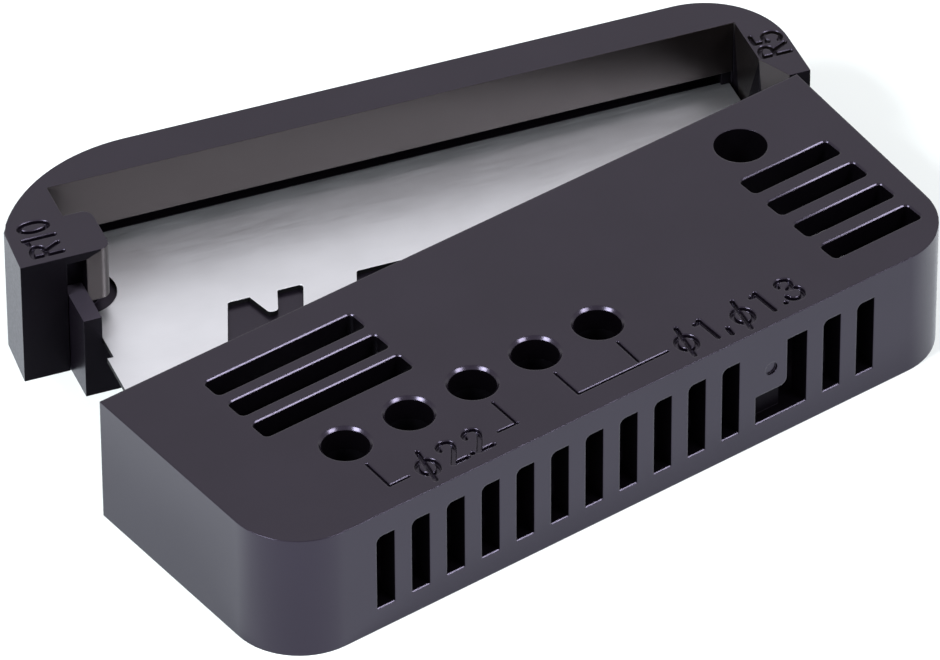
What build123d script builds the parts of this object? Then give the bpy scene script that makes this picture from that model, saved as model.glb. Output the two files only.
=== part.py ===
from build123d import *
import os
from math import asin, cos, degrees, radians, sqrt, tan

os.makedirs("parts", exist_ok=True)

# A hand cutter for plastic optical fibre: two black moulded halves on one upright pivot pin.
# The rear half, the holder, carries a thin steel blade in its pocket. The front half, the guide
# housing, has five guide holes: a fibre goes down a hole, and squeezing the halves together swings
# the blade across it. The two rounded rear corners of the holder are bend-radius gauges.
#
# X runs along the holder, Y to the rear and Z up. Each half is laid out with the halves closed and
# parallel, the holder on its own axes and the housing from its rear left corner. The housing is then
# swung open about the pivot, and the whole is centred on its bounding box, standing on Z = 0.
# All lengths are in millimetres and all angles in degrees.

# Both halves
body_height = 8.0
opening_angle = 15.58
edge_break = 0.12
cut_over = 1.0
part_gap = 0.02

# Blade holder
holder_length = 47.9
holder_depth = 8.8
large_gauge_radius = 10.0
small_gauge_radius = 5.0
left_side_foot = 0.9
left_side_top_y = 3.4
right_front_y = 0.55
rear_wall = 2.63
pocket_left = 4.6
pocket_end_wall = 2.3
post_right = 6.17
post_depth = 3.5
post_corner = 0.6
end_chamfer_y = 2.5
end_chamfer_length = 1.04
overhang_z = 4.55
blade_slot_height = 1.2
blade_slot_wall = 1.8
gauge_wall = 0.85
left_pad_front_gap = 0.35
left_pad_depth = 1.4
right_pad_width = 0.6
right_pad_front_gap = 0.1

# Blade tray, the floor of the holder that reaches into the housing
tray_left = 3.63
tray_end_gap = 0.15
tray_front_y = -2.45
platform_left = 6.5
platform_end_step = 0.4
platform_front_gap = 1.06
tab_width = 1.05
tab_height = 5.3
tab_rear_y = 0.85
tab_headroom = 2.2
tray_side_clearance = 0.05
platform_lift = 0.3
tray_ear_length = 1.75
tray_ear_width = 3.0
tray_ear_y = 3.5
tray_ear_thickness = 1.6
tray_boss = 1.9
tray_screw_inset = 0.8

# Blade
blade_thickness = 0.3
blade_left = 4.4
blade_end_gap = 0.2
blade_rear_y = 6.5
blade_overcut = 0.29
blade_bevel = 1.2
blade_edge_land = 0.06
blade_tab_gap = 0.08
blade_relief_length = 1.55
end_notch_radius = 2.1
end_notch_inset = 0.5
end_notch_y = 2.05
blade_window_rear_y = -1.85
blade_window_depth = 4.75
blade_window_corner = 0.2
window_lean = 20.0
end_window_inset = 7.81
end_window_length = 4.44
window_bridge = 3.15
tongue_offset = 2.1
tongue_depth = 1.64
tongue_root_width = 1.64
tongue_tip_width = 0.52
tongue_tip_radius = 0.25

# Guide housing
housing_end_step = 0.2
housing_width = 16.64
housing_end_taper = 4.7
housing_corner = 4.1
housing_wall = 1.3
housing_skin = 1.5

# Guide holes
guide_holes = 5
wide_guides = 3
first_guide_x = 8.49
guide_pitch = 4.243
guide_setback = 5.84
guide_mouth = 2.64
mouth_chamfer = 0.17
wide_fibre = 2.2
narrow_fibre = 1.3
fibre_clearance = 0.1
guide_block_end = 3.3
guide_block_width = 4.0
guide_mouth_depth = 0.75
blade_gap_above = 0.3
blade_gap_below = 0.15
guide_peg = 1.2
guide_peg_gap = 0.7
guide_peg_short = 0.35
peg_clearance = 0.02
exit_slot_extra = 0.8

# Vents in the top skin and windows in the front wall
left_vents = 3
left_vent_x = 5.4
left_vent_length = 9.85
left_vent_width = 1.37
left_vent_pitch = 2.19
first_left_vent_y = -2.74
right_vents = 4
right_vent_end_gap = 2.4
right_vent_length = 6.1
right_vent_width = 1.4
first_right_vent_y = -6.35
last_right_vent_setback = 3.13
vent_corner = 0.3
window_places = 15
first_window_x = 6.22
last_window_end_gap = 7.66
window_width = 1.2
window_bottom = 1.5
window_top = 6.45
window_round_corner = 0.4
joined_window = 11
flush_panel_width = 2.15
flush_panel_height = 3.05
flush_panel_corner = 0.45
dimple_diameter = 0.8
dimple_depth = 0.12
set_back_plate_height = 1.9
set_back_plate_depth = 0.6

# Base cover
cover_thickness = 1.3
cover_side_clearance = 0.08
cover_rear_y = -2.8
cover_lobe_radius = 1.8

# Pivot and fasteners
pivot_end_gap = 6.49
pivot_y = -3.2
pivot_hole = 3.02
pivot_pin = 2.0
pin_head = 2.8
pin_head_height = 0.8
pin_head_recess = 2.6
pin_foot = 0.1
pin_fit = 0.02
pin_running_clearance = 0.05
blade_hole_clearance = 0.2
pivot_boss = 4.4
tray_pivot_end_gap = 6.25
tray_pivot_y = -4.36
screw_shank = 1.0
screw_head = 1.7
screw_head_height = 0.6
screw_sink = 0.15
screw_fit = 0.03
screw_bite = 3.2
screw_tip_gap = 0.2
driver_slot_width = 0.3
driver_slot_depth = 0.25
cover_post = 2.1
cover_post_left_x = 3.5
cover_post_end_gap = 4.5
cover_post_setback = 2.54
cover_post_web = 1.3
stop_rib_width = 1.2
stop_rib_depth = 1.0
stop_gap = 0.1

# Places and heights that follow from the sizes above
housing_length = holder_length - housing_end_step
pocket_right = holder_length - pocket_end_wall
end_chamfer_x = pocket_right + end_chamfer_length
tray_right = pocket_right - tray_end_gap
platform_right = tray_right - platform_end_step
tray_pivot_x = holder_length - tray_pivot_end_gap
pivot_x = housing_length - pivot_end_gap
guide_y = guide_setback - housing_width
right_vent_x = housing_length - right_vent_end_gap - right_vent_length
right_vent_pitch = (housing_width - last_right_vent_setback + first_right_vent_y) / (right_vents - 1)
window_row = housing_length - last_window_end_gap - window_width - first_window_x
window_pitch = window_row / (window_places - 1)
tray_top = overhang_z - blade_slot_height
blade_top = tray_top + blade_thickness
skin_underside = body_height - housing_skin
platform_bottom = cover_thickness + platform_lift
guide_block_bottom = blade_top + blade_gap_above
anvil_top = tray_top - blade_gap_below
lead_in_top = skin_underside - guide_mouth_depth
closed_shift_x = tray_pivot_x - pivot_x
closed_shift_y = tray_pivot_y - pivot_y
blade_right = pocket_right - blade_end_gap
blade_edge_y = guide_y + closed_shift_y - (wide_fibre + fibre_clearance) / 2 - blade_overcut
platform_front_y = guide_y + closed_shift_y + guide_block_width / 2 + platform_front_gap


def box(x0, x1, y0, y1, z0, z1):
    """A block given by its low and high limits along X, Y and Z."""
    centre = Pos((x0 + x1) / 2, (y0 + y1) / 2, z0)
    return centre * extrude(Rectangle(x1 - x0, y1 - y0), amount=z1 - z0)


def rod(x, y, z0, z1, diameter):
    """An upright round bar or bore from z0 to z1."""
    return Pos(x, y, z0) * extrude(Circle(diameter / 2), amount=z1 - z0)


def square_bar(x, y, z0, z1, side):
    """An upright square bar or hole from z0 to z1."""
    return Pos(x, y, z0) * extrude(Rectangle(side, side), amount=z1 - z0)


def cone(x, y, z0, z1, low_diameter, high_diameter):
    """An upright cone from z0 to z1."""
    middle = Pos(x, y, (z0 + z1) / 2)
    return middle * Cone(low_diameter / 2, high_diameter / 2, z1 - z0)


def upright_edges(solid, x, y):
    """The solid's upright edges that stand at x, y."""
    edges = solid.edges().filter_by(Axis.Z)
    return edges.filter_by(lambda edge: abs(edge.center().X - x) + abs(edge.center().Y - y) < 0.01)


def top_edges(solid):
    """The edges round the solid's top face."""
    return solid.edges().filter_by_position(Axis.Z, body_height - 0.01, body_height + 0.01)


# Holder frame
def holder_outline():
    """The holder seen from above: two gauge arcs joined by a straight rear face."""
    large_x, large_y = large_gauge_radius, holder_depth - large_gauge_radius
    small_x, small_y = holder_length - small_gauge_radius, holder_depth - small_gauge_radius
    side_rise = left_side_top_y - large_y
    side_top = (large_x - sqrt(large_gauge_radius**2 - side_rise**2), left_side_top_y)
    sweep = 90 - degrees(asin(side_rise / large_gauge_radius))
    outline = Polyline((holder_length, small_y), (holder_length, right_front_y),
                       (end_chamfer_x, right_front_y), (end_chamfer_x, 0), (left_side_foot, 0), side_top)
    outline += CenterArc((large_x, large_y), large_gauge_radius, 90, sweep)
    outline += Line((large_x, holder_depth), (small_x, holder_depth))
    outline += CenterArc((small_x, small_y), small_gauge_radius, 0, 90)
    return make_face(outline)


def pocket_outline():
    """The pocket over the blade, open to the front between the post and the right block."""
    rear = holder_depth - rear_wall
    points = [(post_right, -cut_over), (post_right, post_depth), (pocket_left, post_depth),
              (pocket_left, rear), (pocket_right, rear), (pocket_right, end_chamfer_y),
              (end_chamfer_x, right_front_y), (end_chamfer_x, -cut_over)]
    return make_face(Polyline(*points, close=True))


def inside_gauges(wall):
    """Keeps a plate of the holder inside its rounded rear corners, wall in from the outside."""
    inner = offset(holder_outline(), amount=-wall)
    reach = 2 * holder_length
    front = Pos(holder_length / 2, left_side_top_y - reach / 2) * Rectangle(reach, reach)
    return Pos(0, 0, -cut_over) * extrude(inner + front, amount=body_height + 2 * cut_over)


def holder_frame():
    frame = extrude(holder_outline(), amount=body_height)
    frame -= extrude(pocket_outline(), amount=body_height)
    frame = fillet(upright_edges(frame, post_right, 0), post_corner)
    frame = fillet(upright_edges(frame, post_right, post_depth), post_corner)
    frame = chamfer(top_edges(frame), edge_break)
    tray_side = tray_left - tray_side_clearance
    slot_rear = holder_depth - blade_slot_wall
    cavity = box(tray_side, tray_right + tray_side_clearance, -cut_over, slot_rear, -cut_over, overhang_z)
    frame -= cavity & inside_gauges(gauge_wall)
    frame -= box(tray_side, tray_left + tab_width + tray_side_clearance, -cut_over,
                 tab_rear_y + tray_side_clearance, -cut_over, tab_height + tab_headroom)
    frame -= box(tray_right - cut_over, tray_right + tray_ear_length + tray_side_clearance,
                 tray_ear_y - tray_ear_width / 2 - tray_side_clearance,
                 tray_ear_y + tray_ear_width / 2 + tray_side_clearance,
                 -cut_over, tray_ear_thickness + part_gap)
    pad_bottom, pad_top = blade_top + part_gap, overhang_z + part_gap
    left_pad_y = end_notch_y + end_notch_radius + left_pad_front_gap
    frame += box(tray_side - part_gap, pocket_left - part_gap, left_pad_y, left_pad_y + left_pad_depth,
                 pad_bottom, pad_top)
    frame += box(tray_right + tray_side_clearance - right_pad_width, pocket_right,
                 holder_depth - rear_wall + right_pad_front_gap, slot_rear + part_gap, pad_bottom, pad_top)
    for x, y, z in tray_screw_places():
        frame -= rod(x, y, z, z + screw_bite, screw_shank)
    return frame


# Blade tray
def tray_screw_places():
    """Centre and seat height of the two screws that draw the tray up into the holder frame."""
    left = (blade_left + tray_screw_inset, end_notch_y, overhang_z)
    right = (tray_right + tray_ear_length / 2, tray_ear_y, tray_ear_thickness + part_gap)
    return [left, right]


def blade_tray():
    rear = holder_depth - blade_slot_wall - tray_side_clearance
    tray = box(tray_left, tray_right, tray_front_y, rear, 0, tray_top)
    tray &= inside_gauges(gauge_wall + tray_side_clearance)
    tray += box(platform_left, platform_right, platform_front_y, tray_front_y, platform_bottom, tray_top)
    tray += box(tray_left, tray_left + tab_width, tray_front_y, tab_rear_y, 0, tab_height)
    tray += box(tray_right, tray_right + tray_ear_length, tray_ear_y - tray_ear_width / 2,
                tray_ear_y + tray_ear_width / 2, 0, tray_ear_thickness)
    left, right = tray_screw_places()
    tray += rod(left[0], left[1], tray_top, overhang_z - part_gap, tray_boss)
    tray -= rod(tray_pivot_x, tray_pivot_y, 0, tray_top, pivot_pin + 2 * pin_running_clearance)
    for x, y, _ in (left, right):
        tray -= rod(x, y, 0, overhang_z, screw_shank + 2 * screw_fit)
        tray -= rod(x, y, 0, screw_head_height + screw_sink, screw_head + 2 * screw_fit)
    return tray


# Blade
def blade_window(left, right, left_lean, right_lean):
    """One of the windows along the middle of the blade, its ends leaning to the right towards the edge."""
    front_y = blade_window_rear_y - blade_window_depth
    front_left = left + blade_window_depth * tan(radians(left_lean))
    front_right = right + blade_window_depth * tan(radians(right_lean))
    points = [(left, blade_window_rear_y), (front_left, front_y), (front_right, front_y),
              (right, blade_window_rear_y)]
    window = make_face(Polyline(*points, close=True))
    return fillet(window.vertices(), blade_window_corner)


def blade_tongue(middle):
    """The tapered tongue with a rounded tip that hangs into an end window."""
    half_root, half_tip = tongue_root_width / 2, tongue_tip_width / 2
    tip_y = blade_window_rear_y - tongue_depth
    points = [(middle - half_root, blade_window_rear_y + part_gap), (middle - half_root, blade_window_rear_y),
              (middle - half_tip, tip_y), (middle + half_tip, tip_y),
              (middle + half_root, blade_window_rear_y), (middle + half_root, blade_window_rear_y + part_gap)]
    tongue = make_face(Polyline(*points, close=True))
    return fillet(tongue.vertices().sort_by(Axis.Y)[:2], tongue_tip_radius)


def blade():
    sheet = box(blade_left, blade_right, blade_edge_y, blade_rear_y, tray_top, blade_top)
    front_face = sheet.faces().sort_by(Axis.Y)[0]
    top_front = front_face.edges().sort_by(Axis.Z)[-1]
    bevel_height = blade_thickness - blade_edge_land
    sheet = chamfer(top_front, length=bevel_height, length2=blade_bevel, reference=front_face)
    first_left = blade_left + end_window_inset
    last_left = blade_right - end_window_inset - end_window_length
    cuts = blade_window(first_left, first_left + end_window_length, -window_lean, -window_lean)
    cuts += blade_window(first_left + end_window_length + window_bridge, last_left - window_bridge,
                         -window_lean, window_lean)
    cuts += blade_window(last_left, last_left + end_window_length, window_lean, window_lean)
    cuts -= blade_tongue(first_left + tongue_offset)
    cuts -= blade_tongue(last_left + end_window_length - tongue_offset)
    for x in (blade_left + end_notch_inset, blade_right - end_notch_inset):
        cuts += Pos(x, end_notch_y) * Circle(end_notch_radius)
    cuts += Pos(tray_pivot_x, tray_pivot_y) * Circle(pivot_pin / 2 + blade_hole_clearance)
    tab_side = tray_left + tab_width + blade_tab_gap
    relief_front = tray_front_y - blade_relief_length
    tab_relief = Rectangle(2 * (tab_side - blade_left), end_notch_y - relief_front)
    cuts += Pos(blade_left, (end_notch_y + relief_front) / 2) * tab_relief
    sheet -= Pos(0, 0, tray_top - cut_over) * extrude(cuts, amount=blade_thickness + 2 * cut_over)
    return sheet & inside_gauges(gauge_wall + 2 * tray_side_clearance)


# Guide housing, from its rear left corner
def housing_outline(inset, rear):
    """The housing seen from above, each wall moved in by inset, the rear edge at rear."""
    lean = tan(radians(housing_end_taper))
    right_side = housing_length - inset / cos(radians(housing_end_taper))
    front = inset - housing_width
    points = [(inset, rear), (right_side + rear * lean, rear), (right_side + front * lean, front),
              (inset, front)]
    face = make_face(Polyline(*points, close=True))
    return fillet(face.vertices().sort_by(Axis.Y)[:2], housing_corner - inset)


def guide_x(hole):
    return first_guide_x + hole * guide_pitch


def guide_bore(hole):
    return (wide_fibre if hole < wide_guides else narrow_fibre) + fibre_clearance


def vent_rows(x, length, width, first_y, pitch, count):
    """A row of parallel rounded slots, cut through the top skin."""
    slots = Sketch()
    for row in range(count):
        slots += Pos(x + length / 2, first_y - row * pitch) * RectangleRounded(length, width, vent_corner)
    return Pos(0, 0, skin_underside - cut_over) * extrude(slots, amount=housing_skin + 2 * cut_over)


def window_shape(place):
    """One upright window, seen from the front; the joined one is closed at its upper left."""
    left = first_window_x + place * window_pitch
    right = left + window_width
    points = [(left, window_bottom), (right, window_bottom), (right, window_top), (left, window_top)]
    if place == joined_window:
        right += window_pitch
        panel_x, panel_z = left + flush_panel_width, window_top - flush_panel_height
        points = [(left, window_bottom), (right, window_bottom), (right, window_top), (panel_x, window_top),
                  (panel_x, panel_z), (left, panel_z)]
    shape = make_face(Polyline(*points, close=True))
    rounded = points[4] if place == joined_window else points[3]
    radius = flush_panel_corner if place == joined_window else window_round_corner
    corner = [v for v in shape.vertices() if abs(v.X - rounded[0]) + abs(v.Y - rounded[1]) < part_gap]
    return fillet(corner, radius)


def front_windows():
    """The row of windows in the front wall, where two neighbours are joined into one."""
    shapes = Sketch()
    for place in range(window_places):
        if place != joined_window + 1:
            shapes += window_shape(place)
    wall = Plane.XZ.offset(housing_width - housing_wall - cut_over)
    return extrude(wall * shapes, amount=housing_wall + 2 * cut_over)


def cover_posts():
    y = cover_post_setback - housing_width
    return [(cover_post_left_x, y), (housing_length - cover_post_end_gap, y)]


def guide_pegs():
    """The places of the two square pegs that hold each block, one past each end guide."""
    reach = guide_mouth / 2 + guide_peg / 2 + guide_peg_gap
    return [(guide_x(0) - reach, guide_y), (guide_x(guide_holes - 1) + reach, guide_y)]


def top_housing():
    housing = extrude(housing_outline(0, 0), amount=body_height)
    hollow = extrude(housing_outline(housing_wall, cut_over), amount=skin_underside + cut_over)
    housing -= Pos(0, 0, -cut_over) * hollow
    housing = chamfer(top_edges(housing), edge_break)
    housing -= vent_rows(left_vent_x, left_vent_length, left_vent_width, first_left_vent_y,
                         left_vent_pitch, left_vents)
    housing -= vent_rows(right_vent_x, right_vent_length, right_vent_width, first_right_vent_y,
                         right_vent_pitch, right_vents)
    for x, y in cover_posts():
        housing += rod(x, y, cover_thickness + part_gap, skin_underside, cover_post)
        housing += box(x - cover_post_web / 2, x + cover_post_web / 2, housing_wall / 2 - housing_width, y,
                       cover_thickness + part_gap, skin_underside)
        housing -= rod(x, y, cover_thickness, cover_thickness + screw_bite, screw_shank)
    housing += rod(pivot_x, pivot_y, guide_block_bottom, skin_underside, pivot_boss)
    stop_y = tray_front_y - closed_shift_y - stop_gap
    stop_x = tray_left + tab_width / 2 - closed_shift_x
    housing += box(stop_x - stop_rib_width / 2, stop_x + stop_rib_width / 2, stop_y - stop_rib_depth, stop_y,
                   guide_block_bottom, skin_underside)
    for x, y in guide_pegs():
        housing += square_bar(x, y, guide_block_bottom + guide_peg_short, skin_underside, guide_peg)
    for hole in range(guide_holes):
        housing -= rod(guide_x(hole), guide_y, skin_underside - cut_over, body_height + cut_over, guide_mouth)
        housing -= cone(guide_x(hole), guide_y, body_height - mouth_chamfer, body_height,
                        guide_mouth, guide_mouth + 2 * mouth_chamfer)
    head_seat = body_height - pin_head_recess - pin_head_height
    housing -= rod(pivot_x, pivot_y, head_seat, body_height + cut_over, pivot_hole)
    housing -= rod(pivot_x, pivot_y, 0, body_height, pivot_pin + 2 * pin_fit)
    housing -= front_windows()
    panel_x = first_window_x + joined_window * window_pitch
    wall_inside = housing_wall - housing_width
    housing += box(panel_x - part_gap, panel_x + flush_panel_width,
                   wall_inside - set_back_plate_depth, wall_inside,
                   window_bottom - part_gap, window_bottom + set_back_plate_height)
    dimple_x = panel_x + flush_panel_width / 2
    dimple_z = window_top - flush_panel_height / 2
    dimple = Plane.XZ.offset(housing_width - dimple_depth) * Pos(dimple_x, dimple_z)
    housing -= extrude(dimple * Circle(dimple_diameter / 2), amount=cut_over)
    return housing


# Guide block and anvil block, above and below the blade
def block_limits():
    """Low and high limits of both blocks along X and Y."""
    half_end, half_width = guide_block_end / 2, guide_block_width / 2
    left, right = guide_pegs()
    return left[0] - half_end, right[0] + half_end, guide_y - half_width, guide_y + half_width


def guide_block():
    x0, x1, y0, y1 = block_limits()
    block = box(x0, x1, y0, y1, guide_block_bottom, skin_underside)
    for hole in range(guide_holes):
        bore = guide_bore(hole)
        lead = (guide_mouth - bore) / 2 + mouth_chamfer
        block -= rod(guide_x(hole), guide_y, 0, body_height, bore)
        block -= cone(guide_x(hole), guide_y, lead_in_top - lead, lead_in_top, bore, guide_mouth)
        block -= rod(guide_x(hole), guide_y, lead_in_top, body_height, guide_mouth)
    for x, y in guide_pegs():
        block -= square_bar(x, y, 0, body_height, guide_peg + 2 * peg_clearance)
    return block


def anvil_block():
    x0, x1, y0, y1 = block_limits()
    block = box(x0, x1, y0, y1, cover_thickness, anvil_top)
    for hole in range(guide_holes):
        block -= rod(guide_x(hole), guide_y, 0, body_height, guide_bore(hole))
    for x, y in guide_pegs():
        block -= square_bar(x, y, 0, body_height, guide_peg + 2 * peg_clearance)
    return block


# Base cover
def base_cover():
    inset = housing_wall + cover_side_clearance
    cover = extrude(housing_outline(inset, cover_rear_y), amount=cover_thickness)
    cover += rod(pivot_x, pivot_y, 0, cover_thickness, 2 * cover_lobe_radius)
    cover -= rod(pivot_x, pivot_y, 0, cover_thickness, pivot_pin + 2 * pin_fit)
    exit_width = guide_bore(0) + exit_slot_extra
    exit_slot = SlotCenterToCenter(guide_x(guide_holes - 1) - guide_x(0), exit_width)
    exit_middle = (guide_x(0) + guide_x(guide_holes - 1)) / 2
    cover -= Pos(exit_middle, guide_y) * extrude(exit_slot, amount=cover_thickness)
    for x, y in guide_pegs():
        cover += square_bar(x, y, cover_thickness, anvil_top - guide_peg_short, guide_peg)
    for x, y in cover_posts():
        cover -= rod(x, y, 0, cover_thickness, screw_shank + 2 * screw_fit)
        cover -= rod(x, y, 0, screw_head_height + screw_sink, screw_head + 2 * screw_fit)
    return cover


# Pivot pin and screws
def pivot_pin_part():
    head_seat = body_height - pin_head_recess - pin_head_height
    pin = rod(pivot_x, pivot_y, pin_foot, head_seat, pivot_pin)
    return pin + rod(pivot_x, pivot_y, head_seat, head_seat + pin_head_height, pin_head)


def screw(x, y, tip):
    """A screw driven up from below, its slotted head sunk in its seat."""
    head_top = screw_sink + screw_head_height
    body = rod(x, y, screw_sink, head_top, screw_head)
    body += rod(x, y, head_top, tip, screw_shank - 2 * screw_fit)
    half_slot = driver_slot_width / 2
    slot_top = screw_sink + driver_slot_depth
    return body - box(x - screw_head, x + screw_head, y - half_slot, y + half_slot, 0, slot_top)


def cover_screws():
    return [screw(x, y, cover_thickness + screw_bite - screw_tip_gap) for x, y in cover_posts()]


def tray_screws():
    return [screw(x, y, z + screw_bite - screw_tip_gap) for x, y, z in tray_screw_places()]


# Put the halves together, open the housing and centre the whole
holder_parts = {
    "holder_frame": [holder_frame()],
    "blade_tray": [blade_tray()],
    "blade": [blade()],
    "tray_screws": tray_screws(),
}
housing_parts = {
    "top_housing": [top_housing()],
    "guide_block": [guide_block()],
    "anvil_block": [anvil_block()],
    "base_cover": [base_cover()],
    "pivot_pin": [pivot_pin_part()],
    "cover_screws": cover_screws(),
}
swing = Pos(tray_pivot_x, tray_pivot_y) * Rot(0, 0, opening_angle) * Pos(-pivot_x, -pivot_y)
placed = dict(holder_parts)
for name, solids in housing_parts.items():
    placed[name] = [swing * solid for solid in solids]
boxes = [solid.bounding_box() for solids in placed.values() for solid in solids]
low_x, high_x = min(limit.min.X for limit in boxes), max(limit.max.X for limit in boxes)
low_y, high_y = min(limit.min.Y for limit in boxes), max(limit.max.Y for limit in boxes)
centring = Pos(-(low_x + high_x) / 2, -(low_y + high_y) / 2)
for name, solids in placed.items():
    moved = [centring * solid for solid in solids]
    export_step(moved[0] if len(moved) == 1 else Compound(moved), f"parts/{name}.step")
pivot = centring * Pos(tray_pivot_x, tray_pivot_y)
print("pivot at", round(pivot.position.X, 4), round(pivot.position.Y, 4))
print("size", round(high_x - low_x, 3), round(high_y - low_y, 3))
print("holder origin at", round(centring.position.X, 4), round(centring.position.Y, 4))
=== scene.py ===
import math

import bmesh
import bpy
import numpy as np
from mathutils import Matrix


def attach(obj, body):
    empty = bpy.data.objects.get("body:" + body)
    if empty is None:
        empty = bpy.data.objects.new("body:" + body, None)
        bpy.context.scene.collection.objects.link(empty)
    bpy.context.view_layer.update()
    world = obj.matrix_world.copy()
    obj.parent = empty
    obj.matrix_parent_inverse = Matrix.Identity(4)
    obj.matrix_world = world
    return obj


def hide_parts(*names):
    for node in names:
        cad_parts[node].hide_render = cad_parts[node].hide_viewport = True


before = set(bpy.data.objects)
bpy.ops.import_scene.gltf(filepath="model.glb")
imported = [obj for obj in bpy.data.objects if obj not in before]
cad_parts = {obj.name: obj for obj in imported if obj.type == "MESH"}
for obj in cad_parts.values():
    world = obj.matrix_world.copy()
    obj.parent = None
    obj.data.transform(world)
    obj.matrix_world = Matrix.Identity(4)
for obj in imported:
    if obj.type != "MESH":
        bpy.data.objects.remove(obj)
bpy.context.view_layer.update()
scene = bpy.context.scene

# The pale table that the cutter lies on, and the eye that looks at it from the front left.
# The table is matt white paint, and takes a soft shadow from the cutter. It also glows faintly, white to the
# eye and bluish in mirrored rays, which paints a cool reflection on the cutter's faces.
eye_spot = (-0.160671, -0.413868, 0.365338)
eye_bearing = -21.025
eye_above_table = 39.182
eye_roll = -0.278
eye = bpy.data.cameras.new("eye")
eye.lens = 399.35
eye.sensor_width = 36.0
eye.clip_start = 0.01
eye_stand = bpy.data.objects.new("eye", eye)
eye_turn = Matrix.Rotation(math.radians(eye_bearing), 4, "Z")
eye_turn = eye_turn @ Matrix.Rotation(math.radians(90 - eye_above_table), 4, "X")
eye_turn = eye_turn @ Matrix.Rotation(math.radians(eye_roll), 4, "Z")
eye_stand.matrix_world = Matrix.Translation(eye_spot) @ eye_turn
scene.collection.objects.link(eye_stand)
scene.camera = eye_stand
scene.view_settings.view_transform = "Standard"


def new_finish(name):
    """A new material with a shader joined to its output, with its nodes, its links and the shader."""
    finish = bpy.data.materials.new(name)
    finish.use_nodes = True
    nodes, links = finish.node_tree.nodes, finish.node_tree.links
    nodes.clear()
    out = nodes.new("ShaderNodeOutputMaterial")
    shader = nodes.new("ShaderNodeBsdfPrincipled")
    links.new(shader.outputs["BSDF"], out.inputs["Surface"])
    return finish, nodes, links, shader


def seen_rays(nodes, links):
    """One for a ray that shows what lies behind: straight from the eye, mirrored or through glass."""
    path = nodes.new("ShaderNodeLightPath")
    mirrored = nodes.new("ShaderNodeMath")
    mirrored.operation = "MAXIMUM"
    links.new(path.outputs["Is Camera Ray"], mirrored.inputs[0])
    links.new(path.outputs["Is Glossy Ray"], mirrored.inputs[1])
    through = nodes.new("ShaderNodeMath")
    through.operation = "MAXIMUM"
    links.new(mirrored.outputs[0], through.inputs[0])
    links.new(path.outputs["Is Transmission Ray"], through.inputs[1])
    return through.outputs[0]


table_paint, nodes, links, shader = new_finish("white_table_paint")
shader.inputs["Base Color"].default_value = (0.88, 0.88, 0.88, 1)
shader.inputs["Roughness"].default_value = 0.9
shader.inputs["Specular IOR Level"].default_value = 0.0
# A bluish glow seen only in mirrored rays: a painted cool reflection.
cool = nodes.new("ShaderNodeMix")
cool.data_type = "RGBA"
cool.inputs["A"].default_value = (1, 1, 1, 1)
cool.inputs["B"].default_value = (1.0, 1.08, 1.5, 1)
links.new(nodes.new("ShaderNodeLightPath").outputs["Is Glossy Ray"], cool.inputs["Factor"])
links.new(cool.outputs["Result"], shader.inputs["Emission Color"])
glow = nodes.new("ShaderNodeMath")
glow.operation = "MULTIPLY"
glow.inputs[1].default_value = 0.12
links.new(seen_rays(nodes, links), glow.inputs[0])
links.new(glow.outputs[0], shader.inputs["Emission Strength"])
table_half = 3.0
table_drop = 0.00002
table_mesh = bpy.data.meshes.new("table")
corners = [(-1, -1), (1, -1), (1, 1), (-1, 1)]
points = [(x * table_half, y * table_half, -table_drop) for x, y in corners]
table_mesh.from_pydata(points, [], [(0, 1, 2, 3)])
table_mesh.materials.append(table_paint)
table = bpy.data.objects.new("table", table_mesh)
scene.collection.objects.link(table)

# The light of a plain white room, with a soft lamp on each side of the eye.
# The room lights the cutter evenly, and the lamps draw the thin bright lines along the broken edges.
room = bpy.data.worlds.new("room")
scene.world = room
room.use_nodes = True
nodes, links = room.node_tree.nodes, room.node_tree.links
nodes.clear()
out = nodes.new("ShaderNodeOutputWorld")
sky = nodes.new("ShaderNodeBackground")
sky.inputs["Color"].default_value = (1, 1, 1, 1)
level = nodes.new("ShaderNodeMapRange")
level.inputs["To Min"].default_value = 0.35
level.inputs["To Max"].default_value = 1.0
links.new(seen_rays(nodes, links), level.inputs["Value"])
links.new(level.outputs["Result"], sky.inputs["Strength"])
links.new(sky.outputs["Background"], out.inputs["Surface"])


def soft_lamp(name, azimuth, elevation, reach, width, height, power, colour):
    """An area lamp at that bearing from the cutter, azimuth from +X towards +Y, turned to face it."""
    lamp = bpy.data.lights.new(name, "AREA")
    lamp.shape = "RECTANGLE"
    lamp.size = width
    lamp.size_y = height
    lamp.energy = power
    lamp.color = colour
    stand = bpy.data.objects.new(name, lamp)
    a, e = math.radians(azimuth), math.radians(elevation)
    spot = np.array([math.cos(a) * math.cos(e), math.sin(a) * math.cos(e), math.sin(e)]) * reach
    turn = Matrix.Rotation(a + math.pi / 2, 4, "Z") @ Matrix.Rotation(math.pi / 2 - e, 4, "X")
    stand.matrix_world = Matrix.Translation(spot) @ turn
    scene.collection.objects.link(stand)


soft_lamp("lamp_right", azimuth=-48, elevation=41, reach=0.9, width=0.34, height=0.26,
          power=7.4, colour=(0.93, 0.99, 1.0))
soft_lamp("lamp_left", azimuth=-162, elevation=44, reach=0.25, width=0.09, height=0.07,
          power=0.70, colour=(0.90, 0.99, 1.0))

# Holder frame: the rear half's body, moulded in black plastic with a satin spark finish.
# Its rear corners are the two bend gauges, and the radius of each is sunk into its top.
top_height = 8.0
holder_corner = (-25.2272, 9.312)


def merged_copy(node, name):
    """A copy of a CAD node with its loose facets joined, without the imported normals."""
    shape = bmesh.new()
    shape.from_mesh(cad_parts[node].data)
    bmesh.ops.remove_doubles(shape, verts=shape.verts, dist=3e-7)
    mesh = bpy.data.meshes.new(name)
    shape.to_mesh(mesh)
    shape.free()
    imported = mesh.attributes.get("custom_normal")
    if imported:
        mesh.attributes.remove(imported)
    piece = bpy.data.objects.new(name, mesh)
    scene.collection.objects.link(piece)
    return piece


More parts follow.
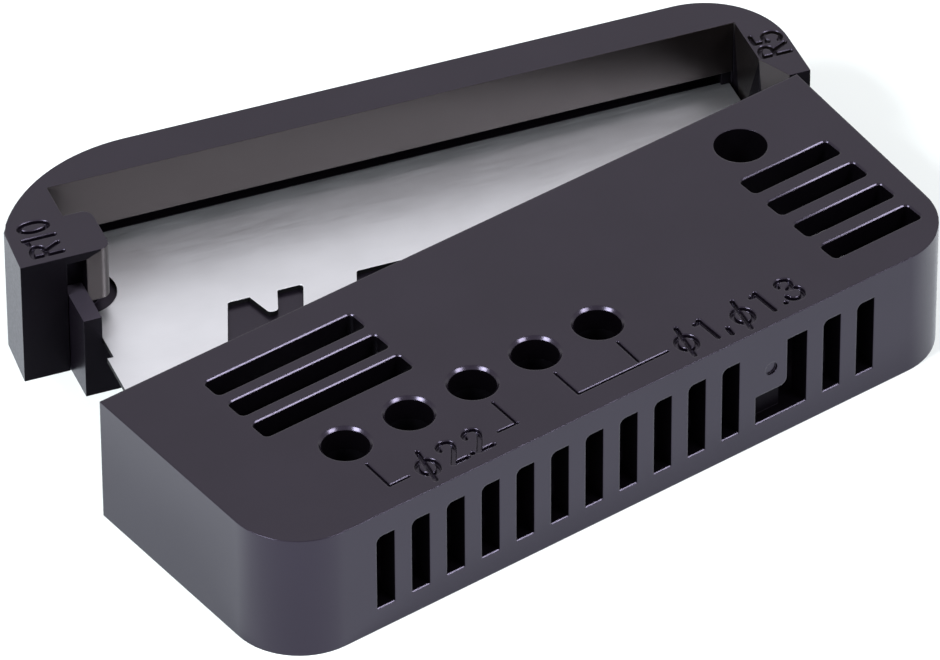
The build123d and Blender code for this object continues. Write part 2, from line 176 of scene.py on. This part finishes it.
def crisp_top(piece, broken=0.12):
    """Moves the inner line of each broken top edge out over its outer line, so that the edge looks crisp."""
    shape = bmesh.new()
    shape.from_mesh(piece.data)
    moves = []
    for vert in shape.verts:
        if abs(vert.co.z * 1000 - top_height) < 0.002:
            below = [edge.other_vert(vert) for edge in vert.link_edges]
            below = [other for other in below if abs(other.co.z * 1000 - top_height + broken) < 0.002]
            if below:
                outer = min(below, key=lambda other: (other.co.xy - vert.co.xy).length)
                moves.append((vert, outer.co.xy.copy()))
    for vert, xy in moves:
        vert.co.xy = xy
    shape.to_mesh(piece.data)
    shape.free()


def settle(piece, finish, node, body, crease=25.0, others=()):
    """Keeps edges over crease degrees sharp and rounds smooth, paints the piece and puts it on its body.
    Each of the others is a finish and the function that picks its faces from centres, normals and depths.
    A face's depth is how far its centre lies behind the piece's outermost point along its normal, in mm."""
    ready = piece.evaluated_get(bpy.context.evaluated_depsgraph_get())
    mesh = bpy.data.meshes.new_from_object(ready)
    mesh.polygons.foreach_set("use_smooth", np.ones(len(mesh.polygons), bool))
    mesh.set_sharp_from_angle(angle=math.radians(crease))
    piece.modifiers.clear()
    piece.data = mesh
    mesh.name = piece.name
    evened = piece.modifiers.new("even_normals", "WEIGHTED_NORMAL")
    evened.keep_sharp = True
    evened.weight = 100
    mesh.materials.clear()
    mesh.materials.append(finish)
    chosen = np.zeros(len(mesh.polygons), np.int32)
    centres, normals = np.empty((len(chosen), 3)), np.empty((len(chosen), 3))
    mesh.polygons.foreach_get("center", centres.ravel())
    mesh.polygons.foreach_get("normal", normals.ravel())
    points = np.empty((len(mesh.vertices), 3))
    mesh.vertices.foreach_get("co", points.ravel())
    outermost = np.array([(points @ normal).max() for normal in normals])
    depths = (outermost - (normals * centres).sum(1)) * 1000
    for other, pick in others:
        mesh.materials.append(other)
        chosen[pick(centres * 1000, normals, depths)] = len(mesh.materials) - 1
    mesh.polygons.foreach_set("material_index", chosen)
    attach(piece, body)
    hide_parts(node)


def smooth_path(points, steps=6):
    """A curve through the points: on each span a cubic whose end slopes are half the neighbours' chord."""
    p = np.array(points, float)
    if len(p) == 2:
        return p
    p = np.vstack([2 * p[0] - p[1], p, 2 * p[-1] - p[-2]])
    t = np.linspace(0, 1, steps, endpoint=False)[None, :, None]
    a, b, c, d = (p[i: len(p) - 3 + i, None, :] for i in range(4))
    bend, twist = 2 * a - 5 * b + 4 * c - d, 3 * b - a - 3 * c + d
    curve = 0.5 * (2 * b + (c - a) * t + bend * t**2 + twist * t**3)
    return np.vstack([curve.reshape(-1, 2), p[-2:-1]])


def oval(centre, across, up, steps=28):
    """A closed oval path: centre plus across * cos and up * sin."""
    t = np.linspace(0, 2 * math.pi, steps, endpoint=False)
    return np.stack([centre[0] + across * np.cos(t), centre[1] + up * np.sin(t)], 1)


def sunk_line(path, half_width, depth, slope=0.05, closed=False):
    """Vertices and faces of the solid that cuts a sunk line: a channel section carried along the path.
    The section is flat at the floor, and widens by slope at the rim. Open ends are half rounds."""
    path = np.array(path, float)
    if closed:
        along = np.roll(path, -1, 0) - np.roll(path, 1, 0)
        turn = np.zeros(len(path))
    else:
        along = np.gradient(path, axis=0)
        round_end = np.radians([80, 60, 40, 20])
        path = np.vstack([np.repeat(path[:1], 4, 0), path, np.repeat(path[-1:], 4, 0)])
        along = np.vstack([np.repeat(along[:1], 4, 0), along, np.repeat(along[-1:], 4, 0)])
        turn = np.concatenate([-round_end, np.zeros(len(path) - 8), round_end[::-1]])
    along /= np.linalg.norm(along, axis=1, keepdims=True)
    side = np.stack([-along[:, 1], along[:, 0]], 1)
    over = 0.1
    rim = half_width + slope + over
    width = np.array([rim, half_width, half_width, half_width, half_width, rim])
    height = top_height + np.array([over, -slope, -depth, -depth, -slope, over])
    sign = np.array([-1, -1, -1, 1, 1, 1])
    flat = path[:, None] + along[:, None] * (width[None, :, None] * np.sin(turn)[:, None, None])
    flat = flat + side[:, None] * ((sign * width)[None, :, None] * np.cos(turn)[:, None, None])
    points = np.dstack([flat, np.broadcast_to(height, flat.shape[:2])])
    rows, ring = points.shape[:2]
    index = np.arange(rows * ring).reshape(rows, ring)
    if closed:
        index = np.vstack([index, index[:1]])
    near, far = index[:-1], index[1:]
    quads = np.stack([near, np.roll(near, -1, 1), np.roll(far, -1, 1), far], 2).reshape(-1, 4)
    faces = quads.tolist()
    if not closed:
        faces += [index[0][::-1].tolist(), index[-1].tolist()]
    return points.reshape(-1, 3), faces


# Strokes of the sunk signs, in mm: reading along the first number and upwards along the second.
letter_half_width = 0.13
letter_depth = 0.28
signs = {
    "2": [smooth_path([(0.08, 1.28), (0.14, 1.58), (0.50, 1.75), (0.88, 1.60), (0.95, 1.26), (0.66, 0.80),
                       (0.05, 0.02)]),
          smooth_path([(0.04, 0), (1.00, 0)])],
    "1": [smooth_path([(0, 1.60), (0.22, 1.62), (0.40, 1.78)]), smooth_path([(0.40, 1.76), (0.40, 0)])],
    "3": [smooth_path([(0.10, 1.36), (0.20, 1.68), (0.55, 1.78), (0.92, 1.56), (0.84, 1.14), (0.46, 0.96)]),
          smooth_path([(0.46, 0.96), (0.92, 0.82), (1.04, 0.42), (0.80, 0.06), (0.36, 0.0), (0.04, 0.26),
                       (0.02, 0.46)])],
    "5": [smooth_path([(0.05, 1.66), (0.76, 1.66)]), smooth_path([(0.06, 1.66), (0.02, 0.86)]),
          smooth_path([(0.02, 0.86), (0.30, 1.02), (0.66, 0.90), (0.78, 0.52), (0.62, 0.14), (0.26, 0.0),
                       (-0.04, 0.20)])],
    "0": [oval((0.38, 0.84), 0.40, 0.82)],
    "R": [smooth_path([(0, 0), (0, 1.66)]),
          smooth_path([(0, 1.66), (0.50, 1.64), (0.84, 1.40), (0.74, 1.02), (0.30, 0.88), (0, 0.88)]),
          smooth_path([(0.42, 0.80), (0.84, 0)])],
    "dia": [oval((0.66, 0.60), 0.56, 0.64), smooth_path([(0.38, -0.48), (0.94, 1.92)])],
    ".": [smooth_path([(0, 0.02), (0.02, 0.03)])],
    ",": [smooth_path([(0.10, 0.20), (0.02, -0.30)])],
}


def sunk_words(words, reading, upward):
    """Sunk lines for signs placed at (sign, x, y), with their reading and upward directions."""
    solids = []
    for sign, x, y in words:
        for stroke in signs[sign]:
            closed = sign == "0" or (sign == "dia" and len(stroke) > 2)
            path = np.array([x, y]) + stroke[:, :1] * np.array(reading) + stroke[:, 1:] * np.array(upward)
            solids.append(sunk_line(path, letter_half_width, letter_depth, closed=closed))
    return solids


def to_metres(points, origin, angle=0.0, about=(0.0, 0.0)):
    """Turns a half's own mm points by angle degrees about a point that goes to origin, and gives metres."""
    c, s = math.cos(math.radians(angle)), math.sin(math.radians(angle))
    flat = (points[:, :2] - np.array(about)) @ np.array([[c, s], [-s, c]]) + np.array(origin)
    return np.column_stack([flat, points[:, 2]]) * 0.001


def cut_away(piece, solids, place):
    """Cuts the solids out of the piece, once their points are placed."""
    points, faces, start = [], [], 0
    for solid_points, solid_faces in solids:
        points.append(place(solid_points))
        faces += [[start + i for i in face] for face in solid_faces]
        start += len(solid_points)
    mesh = bpy.data.meshes.new("cutter")
    mesh.from_pydata(np.vstack(points).tolist(), [], faces)
    cutter = bpy.data.objects.new("cutter", mesh)
    scene.collection.objects.link(cutter)
    shape = bmesh.new()
    shape.from_mesh(mesh)
    bmesh.ops.recalc_face_normals(shape, faces=shape.faces)
    shape.to_mesh(mesh)
    shape.free()
    cut = piece.modifiers.new("cut", "BOOLEAN")
    cut.object = cutter
    cut.solver = "EXACT"
    cut.use_self = True
    ready = piece.evaluated_get(bpy.context.evaluated_depsgraph_get())
    piece.data = bpy.data.meshes.new_from_object(ready)
    piece.modifiers.clear()
    bpy.data.objects.remove(cutter)


def moulded(name, dark, pale, roughness, tint=(0.82, 0.70, 1.0), grain_size=0.00016, grain_depth=1.5e-6,
            edge_round=0.00006, gleam=0.5):
    """Black moulded plastic: a faint cloud of two shades, a fine eroded grain, broken edges and a sheen."""
    finish, nodes, links, shader = new_finish(name)
    shader.inputs["IOR"].default_value = 1.48
    shader.inputs["Specular IOR Level"].default_value = gleam
    shader.inputs["Specular Tint"].default_value = (*tint, 1)
    place = nodes.new("ShaderNodeTexCoord")
    cloud = nodes.new("ShaderNodeTexNoise")
    cloud.inputs["Scale"].default_value = 180.0
    cloud.inputs["Detail"].default_value = 4.0
    links.new(place.outputs["Object"], cloud.inputs["Vector"])
    shades = nodes.new("ShaderNodeValToRGB")
    shades.color_ramp.elements[0].position = 0.35
    shades.color_ramp.elements[0].color = (*dark, 1)
    shades.color_ramp.elements[1].position = 0.65
    shades.color_ramp.elements[1].color = (*pale, 1)
    links.new(cloud.outputs["Fac"], shades.inputs["Fac"])
    links.new(shades.outputs["Color"], shader.inputs["Base Color"])
    grain = nodes.new("ShaderNodeTexNoise")
    grain.inputs["Scale"].default_value = 1 / grain_size
    grain.inputs["Detail"].default_value = 3.0
    links.new(place.outputs["Object"], grain.inputs["Vector"])
    gloss = nodes.new("ShaderNodeMapRange")
    gloss.inputs["From Min"].default_value = 0.3
    gloss.inputs["From Max"].default_value = 0.7
    gloss.inputs["To Min"].default_value = roughness - 0.04
    gloss.inputs["To Max"].default_value = roughness + 0.04
    links.new(grain.outputs["Fac"], gloss.inputs["Value"])
    links.new(gloss.outputs["Result"], shader.inputs["Roughness"])
    broken = nodes.new("ShaderNodeBevel")
    broken.samples = 6
    broken.inputs["Radius"].default_value = edge_round
    relief = nodes.new("ShaderNodeBump")
    relief.inputs["Strength"].default_value = 1.0
    relief.inputs["Distance"].default_value = grain_depth
    links.new(grain.outputs["Fac"], relief.inputs["Height"])
    links.new(broken.outputs["Normal"], relief.inputs["Normal"])
    links.new(relief.outputs["Normal"], shader.inputs["Normal"])
    return finish


holder_black = moulded("holder_black", (0.0018, 0.0010, 0.0022), (0.0034, 0.0022, 0.0042), 0.32)
# This darker black, almost without gloss, is painted shade for faces in slots, recesses and holes, and for
# fronts facing shaded gaps.
painted_shade_black = moulded("painted_shade_black", (0.0008, 0.0005, 0.0009), (0.0014, 0.0010, 0.0016), 0.50,
                     grain_size=0.00020, gleam=0.07)
# A warm, slightly darker and less glossy copy of the black: painted shade on the pocket's upright walls and
# the post.
pocket_shade_black = moulded("pocket_shade_black", (0.0016, 0.0011, 0.0011), (0.0030, 0.0022, 0.0022), 0.32,
                     tint=(1.0, 0.84, 0.84), gleam=0.40)
holder_body = merged_copy("holder_frame", "holder_body")
crisp_top(holder_body)
gauge_words = [("R", 3.58, 0.62), ("1", 3.62, 1.78), ("0", 3.60, 2.80),
               ("R", 47.54, 2.60), ("5", 47.56, 3.84)]
gauge_marks = sunk_words(gauge_words, (0, 1), (-1, 0))
cut_away(holder_body, gauge_marks, lambda points: to_metres(points, holder_corner))

hidden_depth = 0.3
slot_top = 4.6
pocket_bottom = 4.4
recess_right, recess_rear, recess_top = 4.8, 0.95, 7.6
post_left, post_right = 4.75, 8.0
block_left = 40
front_rear = 0.6


def shade_in_holder(centres, normals, depths):
    """Faces that take painted shade: the walls of the slot and of the tab's recess, and the front faces that
    meet the housing across the shaded gap.
    """
    x, y, z = (centres - np.array([*holder_corner, 0])).T
    in_slot = z < slot_top
    in_recess = (x < recess_right) & (y < recess_rear) & (z < recess_top)
    at_front = (normals[:, 1] < -0.9) & (y < front_rear) & ((x < post_left) | (x > block_left))
    return ((depths > hidden_depth) & (in_slot | in_recess)) | at_front


def shaded_pocket_walls(centres, normals, depths):
    """The upright walls of the open pocket over the blade, with the post's faces, which take a warm, slightly
    darker painted shade.
    """
    x, y, z = (centres - np.array([*holder_corner, 0])).T
    inside = (depths > hidden_depth) | (x < post_right)
    upright = (normals[:, 1] < 0.5) & (abs(normals[:, 2]) < 0.5)
    return inside & upright & (z > pocket_bottom) & (x > post_left)


settle(holder_body, holder_black, "holder_frame", "holder",
       others=[(pocket_shade_black, shaded_pocket_walls), (painted_shade_black, shade_in_holder)])

# Blade tray: the floor under the blade, moulded in black plastic and screwed up into the frame.
# Its tab stands up at the left, just in front of the blade's end. Its top is painted paler, as painted light,
# and its front faces take painted shade.
tray_black = moulded("tray_black", (0.0016, 0.0010, 0.0020), (0.0030, 0.0020, 0.0038), 0.32)
# A paler copy of the tray's black: painted light on the tab's top.
tab_top_painted_light = moulded("tab_top_painted_light", (0.022, 0.018, 0.025), (0.028, 0.023, 0.032), 0.32)
settle(merged_copy("blade_tray", "tray_floor"), tray_black, "blade_tray", "holder",
       others=[(painted_shade_black, lambda centres, normals, depths: normals[:, 1] < -0.9),
               (tab_top_painted_light, lambda centres, normals, depths: (normals[:, 2] > 0.9) & (depths < hidden_depth))])


# Blade: a thin strip of hardened steel that lies on the tray, held by the frame's pads.
# It is stamped, ground bright along its length and bevelled at the cutting edge. Its sheared edges are rough
# steel, painted nearly black as painted shade.
def ground_steel(name, colour, roughness, line_length, line_width, line_depth, edge_round=0.00003):
    """Ground steel: fine lines along X, a little cloud in the tone, and a bright metal sheen."""
    finish, nodes, links, shader = new_finish(name)
    shader.inputs["Metallic"].default_value = 1.0
    place = nodes.new("ShaderNodeTexCoord")
    stretch = nodes.new("ShaderNodeMapping")
    stretch.inputs["Scale"].default_value = (1 / line_length, 1 / line_width, 1 / line_width)
    links.new(place.outputs["Object"], stretch.inputs["Vector"])
    lines = nodes.new("ShaderNodeTexNoise")
    lines.inputs["Scale"].default_value = 1.0
    lines.inputs["Detail"].default_value = 3.0
    links.new(stretch.outputs["Vector"], lines.inputs["Vector"])
    cloud = nodes.new("ShaderNodeTexNoise")
    cloud.inputs["Scale"].default_value = 260.0
    cloud.inputs["Detail"].default_value = 3.0
    links.new(place.outputs["Object"], cloud.inputs["Vector"])
    tones = nodes.new("ShaderNodeValToRGB")
    tones.color_ramp.elements[0].position = 0.3
    tones.color_ramp.elements[0].color = (*[0.92 * c for c in colour], 1)
    tones.color_ramp.elements[1].position = 0.7
    tones.color_ramp.elements[1].color = (*colour, 1)
    links.new(cloud.outputs["Fac"], tones.inputs["Fac"])
    links.new(tones.outputs["Color"], shader.inputs["Base Color"])
    gloss = nodes.new("ShaderNodeMapRange")
    gloss.inputs["From Min"].default_value = 0.3
    gloss.inputs["From Max"].default_value = 0.7
    gloss.inputs["To Min"].default_value = roughness - 0.05
    gloss.inputs["To Max"].default_value = roughness + 0.05
    links.new(lines.outputs["Fac"], gloss.inputs["Value"])
    links.new(gloss.outputs["Result"], shader.inputs["Roughness"])
    broken = nodes.new("ShaderNodeBevel")
    broken.samples = 6
    broken.inputs["Radius"].default_value = edge_round
    relief = nodes.new("ShaderNodeBump")
    relief.inputs["Strength"].default_value = 1.0
    relief.inputs["Distance"].default_value = line_depth
    links.new(lines.outputs["Fac"], relief.inputs["Height"])
    links.new(broken.outputs["Normal"], relief.inputs["Normal"])
    links.new(relief.outputs["Normal"], shader.inputs["Normal"])
    return finish


blade_steel = ground_steel("blade_steel", (0.77, 0.765, 0.82), 0.40, 0.0030, 0.00006, 8e-7, 0.00006)
# Nearly black steel on the blade's side walls: painted shade over the rough sheared edges.
sheared_edge_shade = ground_steel("sheared_edge_shade", (0.025, 0.024, 0.026), 0.55, 0.0002, 0.00006, 3e-7, 0.00001)
settle(merged_copy("blade", "blade_strip"), blade_steel, "blade", "holder",
       others=[(sheared_edge_shade, lambda centres, normals, depths: abs(normals[:, 2]) < 0.5)])

# Tray screws: two short zinc plated steel screws.
# They are driven up from below, through the tray into the frame.
screw_zinc = ground_steel("screw_zinc", (0.45, 0.45, 0.46), 0.35, 0.0004, 0.00008, 6e-7)
settle(merged_copy("tray_screws", "tray_screw_pair"), screw_zinc, "tray_screws", "holder")

# Top housing: the front half's shell, moulded in the same black plastic with a finer grain.
# The rims of its vents are broken, and its size marks are sunk beside the guide holes.
housing_angle = 15.58
pivot_in_housing = (41.21, -3.2)
pivot_in_row = (16.4228, 4.952)
housing_black = moulded("housing_black", (0.0018, 0.0010, 0.0024), (0.0034, 0.0022, 0.0044), 0.22,
                        grain_size=0.00014, grain_depth=1.2e-6, edge_round=0.0001)


def housing_place(points):
    """Swings the housing's own points open about the pivot, where it stands at rest."""
    return to_metres(points, pivot_in_row, housing_angle, pivot_in_housing)


def broken_rim(x0, x1, y0, y1, corner, slope, steps=5):
    """The solid that breaks a slot's rim: its rounded outline, which grows by slope as it rises by slope."""
    over = 0.1
    skin = 0.004
    t = np.linspace(0, math.pi / 2, steps)
    turn = np.concatenate([t + quarter * math.pi / 2 for quarter in range(4)])
    centre_x = np.repeat([x1 - corner, x0 + corner, x0 + corner, x1 - corner], steps)
    centre_y = np.repeat([y1 - corner, y1 - corner, y0 + corner, y0 + corner], steps)
    levels = []
    for grow, height in ((skin, -slope), (slope + over, over)):
        reach = corner + grow
        levels.append(np.column_stack([centre_x + reach * np.cos(turn), centre_y + reach * np.sin(turn),
                                       np.full(len(turn), top_height + height)]))
    count = len(turn)
    low, high = np.arange(count), np.arange(count) + count
    sides = np.stack([low, np.roll(low, -1), np.roll(high, -1), high], 1).tolist()
    return np.vstack(levels), sides + [low[::-1].tolist(), high.tolist()]


vent_corner = 0.3
vent_slope = 0.085
left_vent_ends = (5.4, 15.25)
left_vent_middles = -2.74 - 2.19 * np.arange(3)
left_vent_half = 0.685
right_vent_ends = (39.2, 45.3)
right_vent_middles = np.linspace(-6.35, -13.51, 4)
right_vent_half = 0.7
rims = []
for middle in left_vent_middles:
    low, high = middle - left_vent_half, middle + left_vent_half
    rims.append(broken_rim(*left_vent_ends, low, high, vent_corner, vent_slope))
for middle in right_vent_middles:
    low, high = middle - right_vent_half, middle + right_vent_half
    rims.append(broken_rim(*right_vent_ends, low, high, vent_corner, vent_slope))
front_wall = -16.64
sill_height = 1.5
window_left = 6.22
window_width = 1.2
window_pitch = 2.33
window_places = 15
joined_window = 11
sill_slope = 0.065


def broken_sill(left, right):
    """The wedge, from left to right along X, that breaks the front edge of a window's sill at 45 degrees."""
    over, side = 0.1, 0.003
    ends = []
    for x in (left + side, right - side):
        ends += [(x, front_wall - over, sill_height - sill_slope - over),
                 (x, front_wall - over, sill_height + over),
                 (x, front_wall + sill_slope + over, sill_height + over)]
    return np.array(ends), [[0, 1, 2], [5, 4, 3], [0, 3, 4, 1], [1, 4, 5, 2], [2, 5, 3, 0]]


sills = []
for place in range(window_places):
    if place != joined_window + 1:
        left = window_left + window_pitch * place
        right = left + window_width + (window_pitch if place == joined_window else 0)
        sills.append(broken_sill(left, right))
bracket_half_width = 0.065
bracket_depth = 0.2
brackets = [[(8.37, -12.86), (8.30, -15.04)], [(8.30, -15.04), (9.59, -15.03)],
            [(16.85, -12.77), (16.82, -14.96)], [(16.90, -14.96), (15.61, -14.92)],
            [(21.03, -12.82), (20.99, -14.97)], [(20.99, -14.97), (27.04, -15.01)],
            [(25.33, -12.75), (25.23, -14.71)]]
marks = [sunk_line(path, bracket_half_width, bracket_depth) for path in brackets]
size_words = [("dia", 10.19, -15.63), ("2", 12.06, -15.63), (".", 13.44, -15.56), ("2", 13.78, -15.63),
              ("dia", 27.62, -15.66), ("1", 29.56, -15.70), (",", 30.72, -15.62), ("dia", 31.48, -15.66),
              ("1", 33.44, -15.70), (".", 34.70, -15.60), ("3", 35.04, -15.66)]
marks += sunk_words(size_words, (1, 0), (0, 1))
housing_shell = merged_copy("top_housing", "housing_shell")
crisp_top(housing_shell)
cut_away(housing_shell, rims, housing_place)
cut_away(housing_shell, sills, housing_place)
cut_away(housing_shell, marks, housing_place)


def shade_in_housing(centres, normals, depths):
    """Faces that take painted shade: the walls of windows, vents and holes and all that lies inside, but not
    the broken edges.
    """
    below_rims = centres[:, 2] < top_height - hidden_depth
    broken = (normals[:, 2] > 0.6) & (normals[:, 2] < 0.8)
    return (depths > hidden_depth) & below_rims & ~broken


settle(housing_shell, housing_black, "top_housing", "housing",
       others=[(painted_shade_black, shade_in_housing)])

# Guide block and anvil block: smooth black plastic blocks, moulded with the guide bores.
# They sit in the housing, and hold the fibre just over and just under the blade.
guide_black = moulded("guide_black", (0.0010, 0.0008, 0.0012), (0.0018, 0.0015, 0.0020), 0.45,
                      grain_size=0.00030, grain_depth=1e-6, edge_round=5e-6, gleam=0.2)
settle(merged_copy("guide_block", "upper_guides"), guide_black, "guide_block", "housing")
settle(merged_copy("anvil_block", "lower_guides"), guide_black, "anvil_block", "housing")

# Base cover: the housing's floor, a flat moulding in black plastic.
# It is held to posts in the housing by two screws.
cover_black = moulded("cover_black", (0.0016, 0.0010, 0.0020), (0.0030, 0.0020, 0.0036), 0.45,
                      grain_size=0.00020, gleam=0.2)
settle(merged_copy("base_cover", "housing_floor"), cover_black, "base_cover", "housing")

# Pivot pin and cover screws: a turned steel pin with a flat head, let down its hole in the housing,
# and two zinc plated screws that are driven up through the base cover.
pin_turned = ground_steel("pin_turned", (0.50, 0.50, 0.51), 0.30, 0.0005, 0.00008, 6e-7)
settle(merged_copy("pivot_pin", "pivot_rivet"), pin_turned, "pivot_pin", "housing")
settle(merged_copy("cover_screws", "cover_screw_pair"), screw_zinc, "cover_screws", "housing")
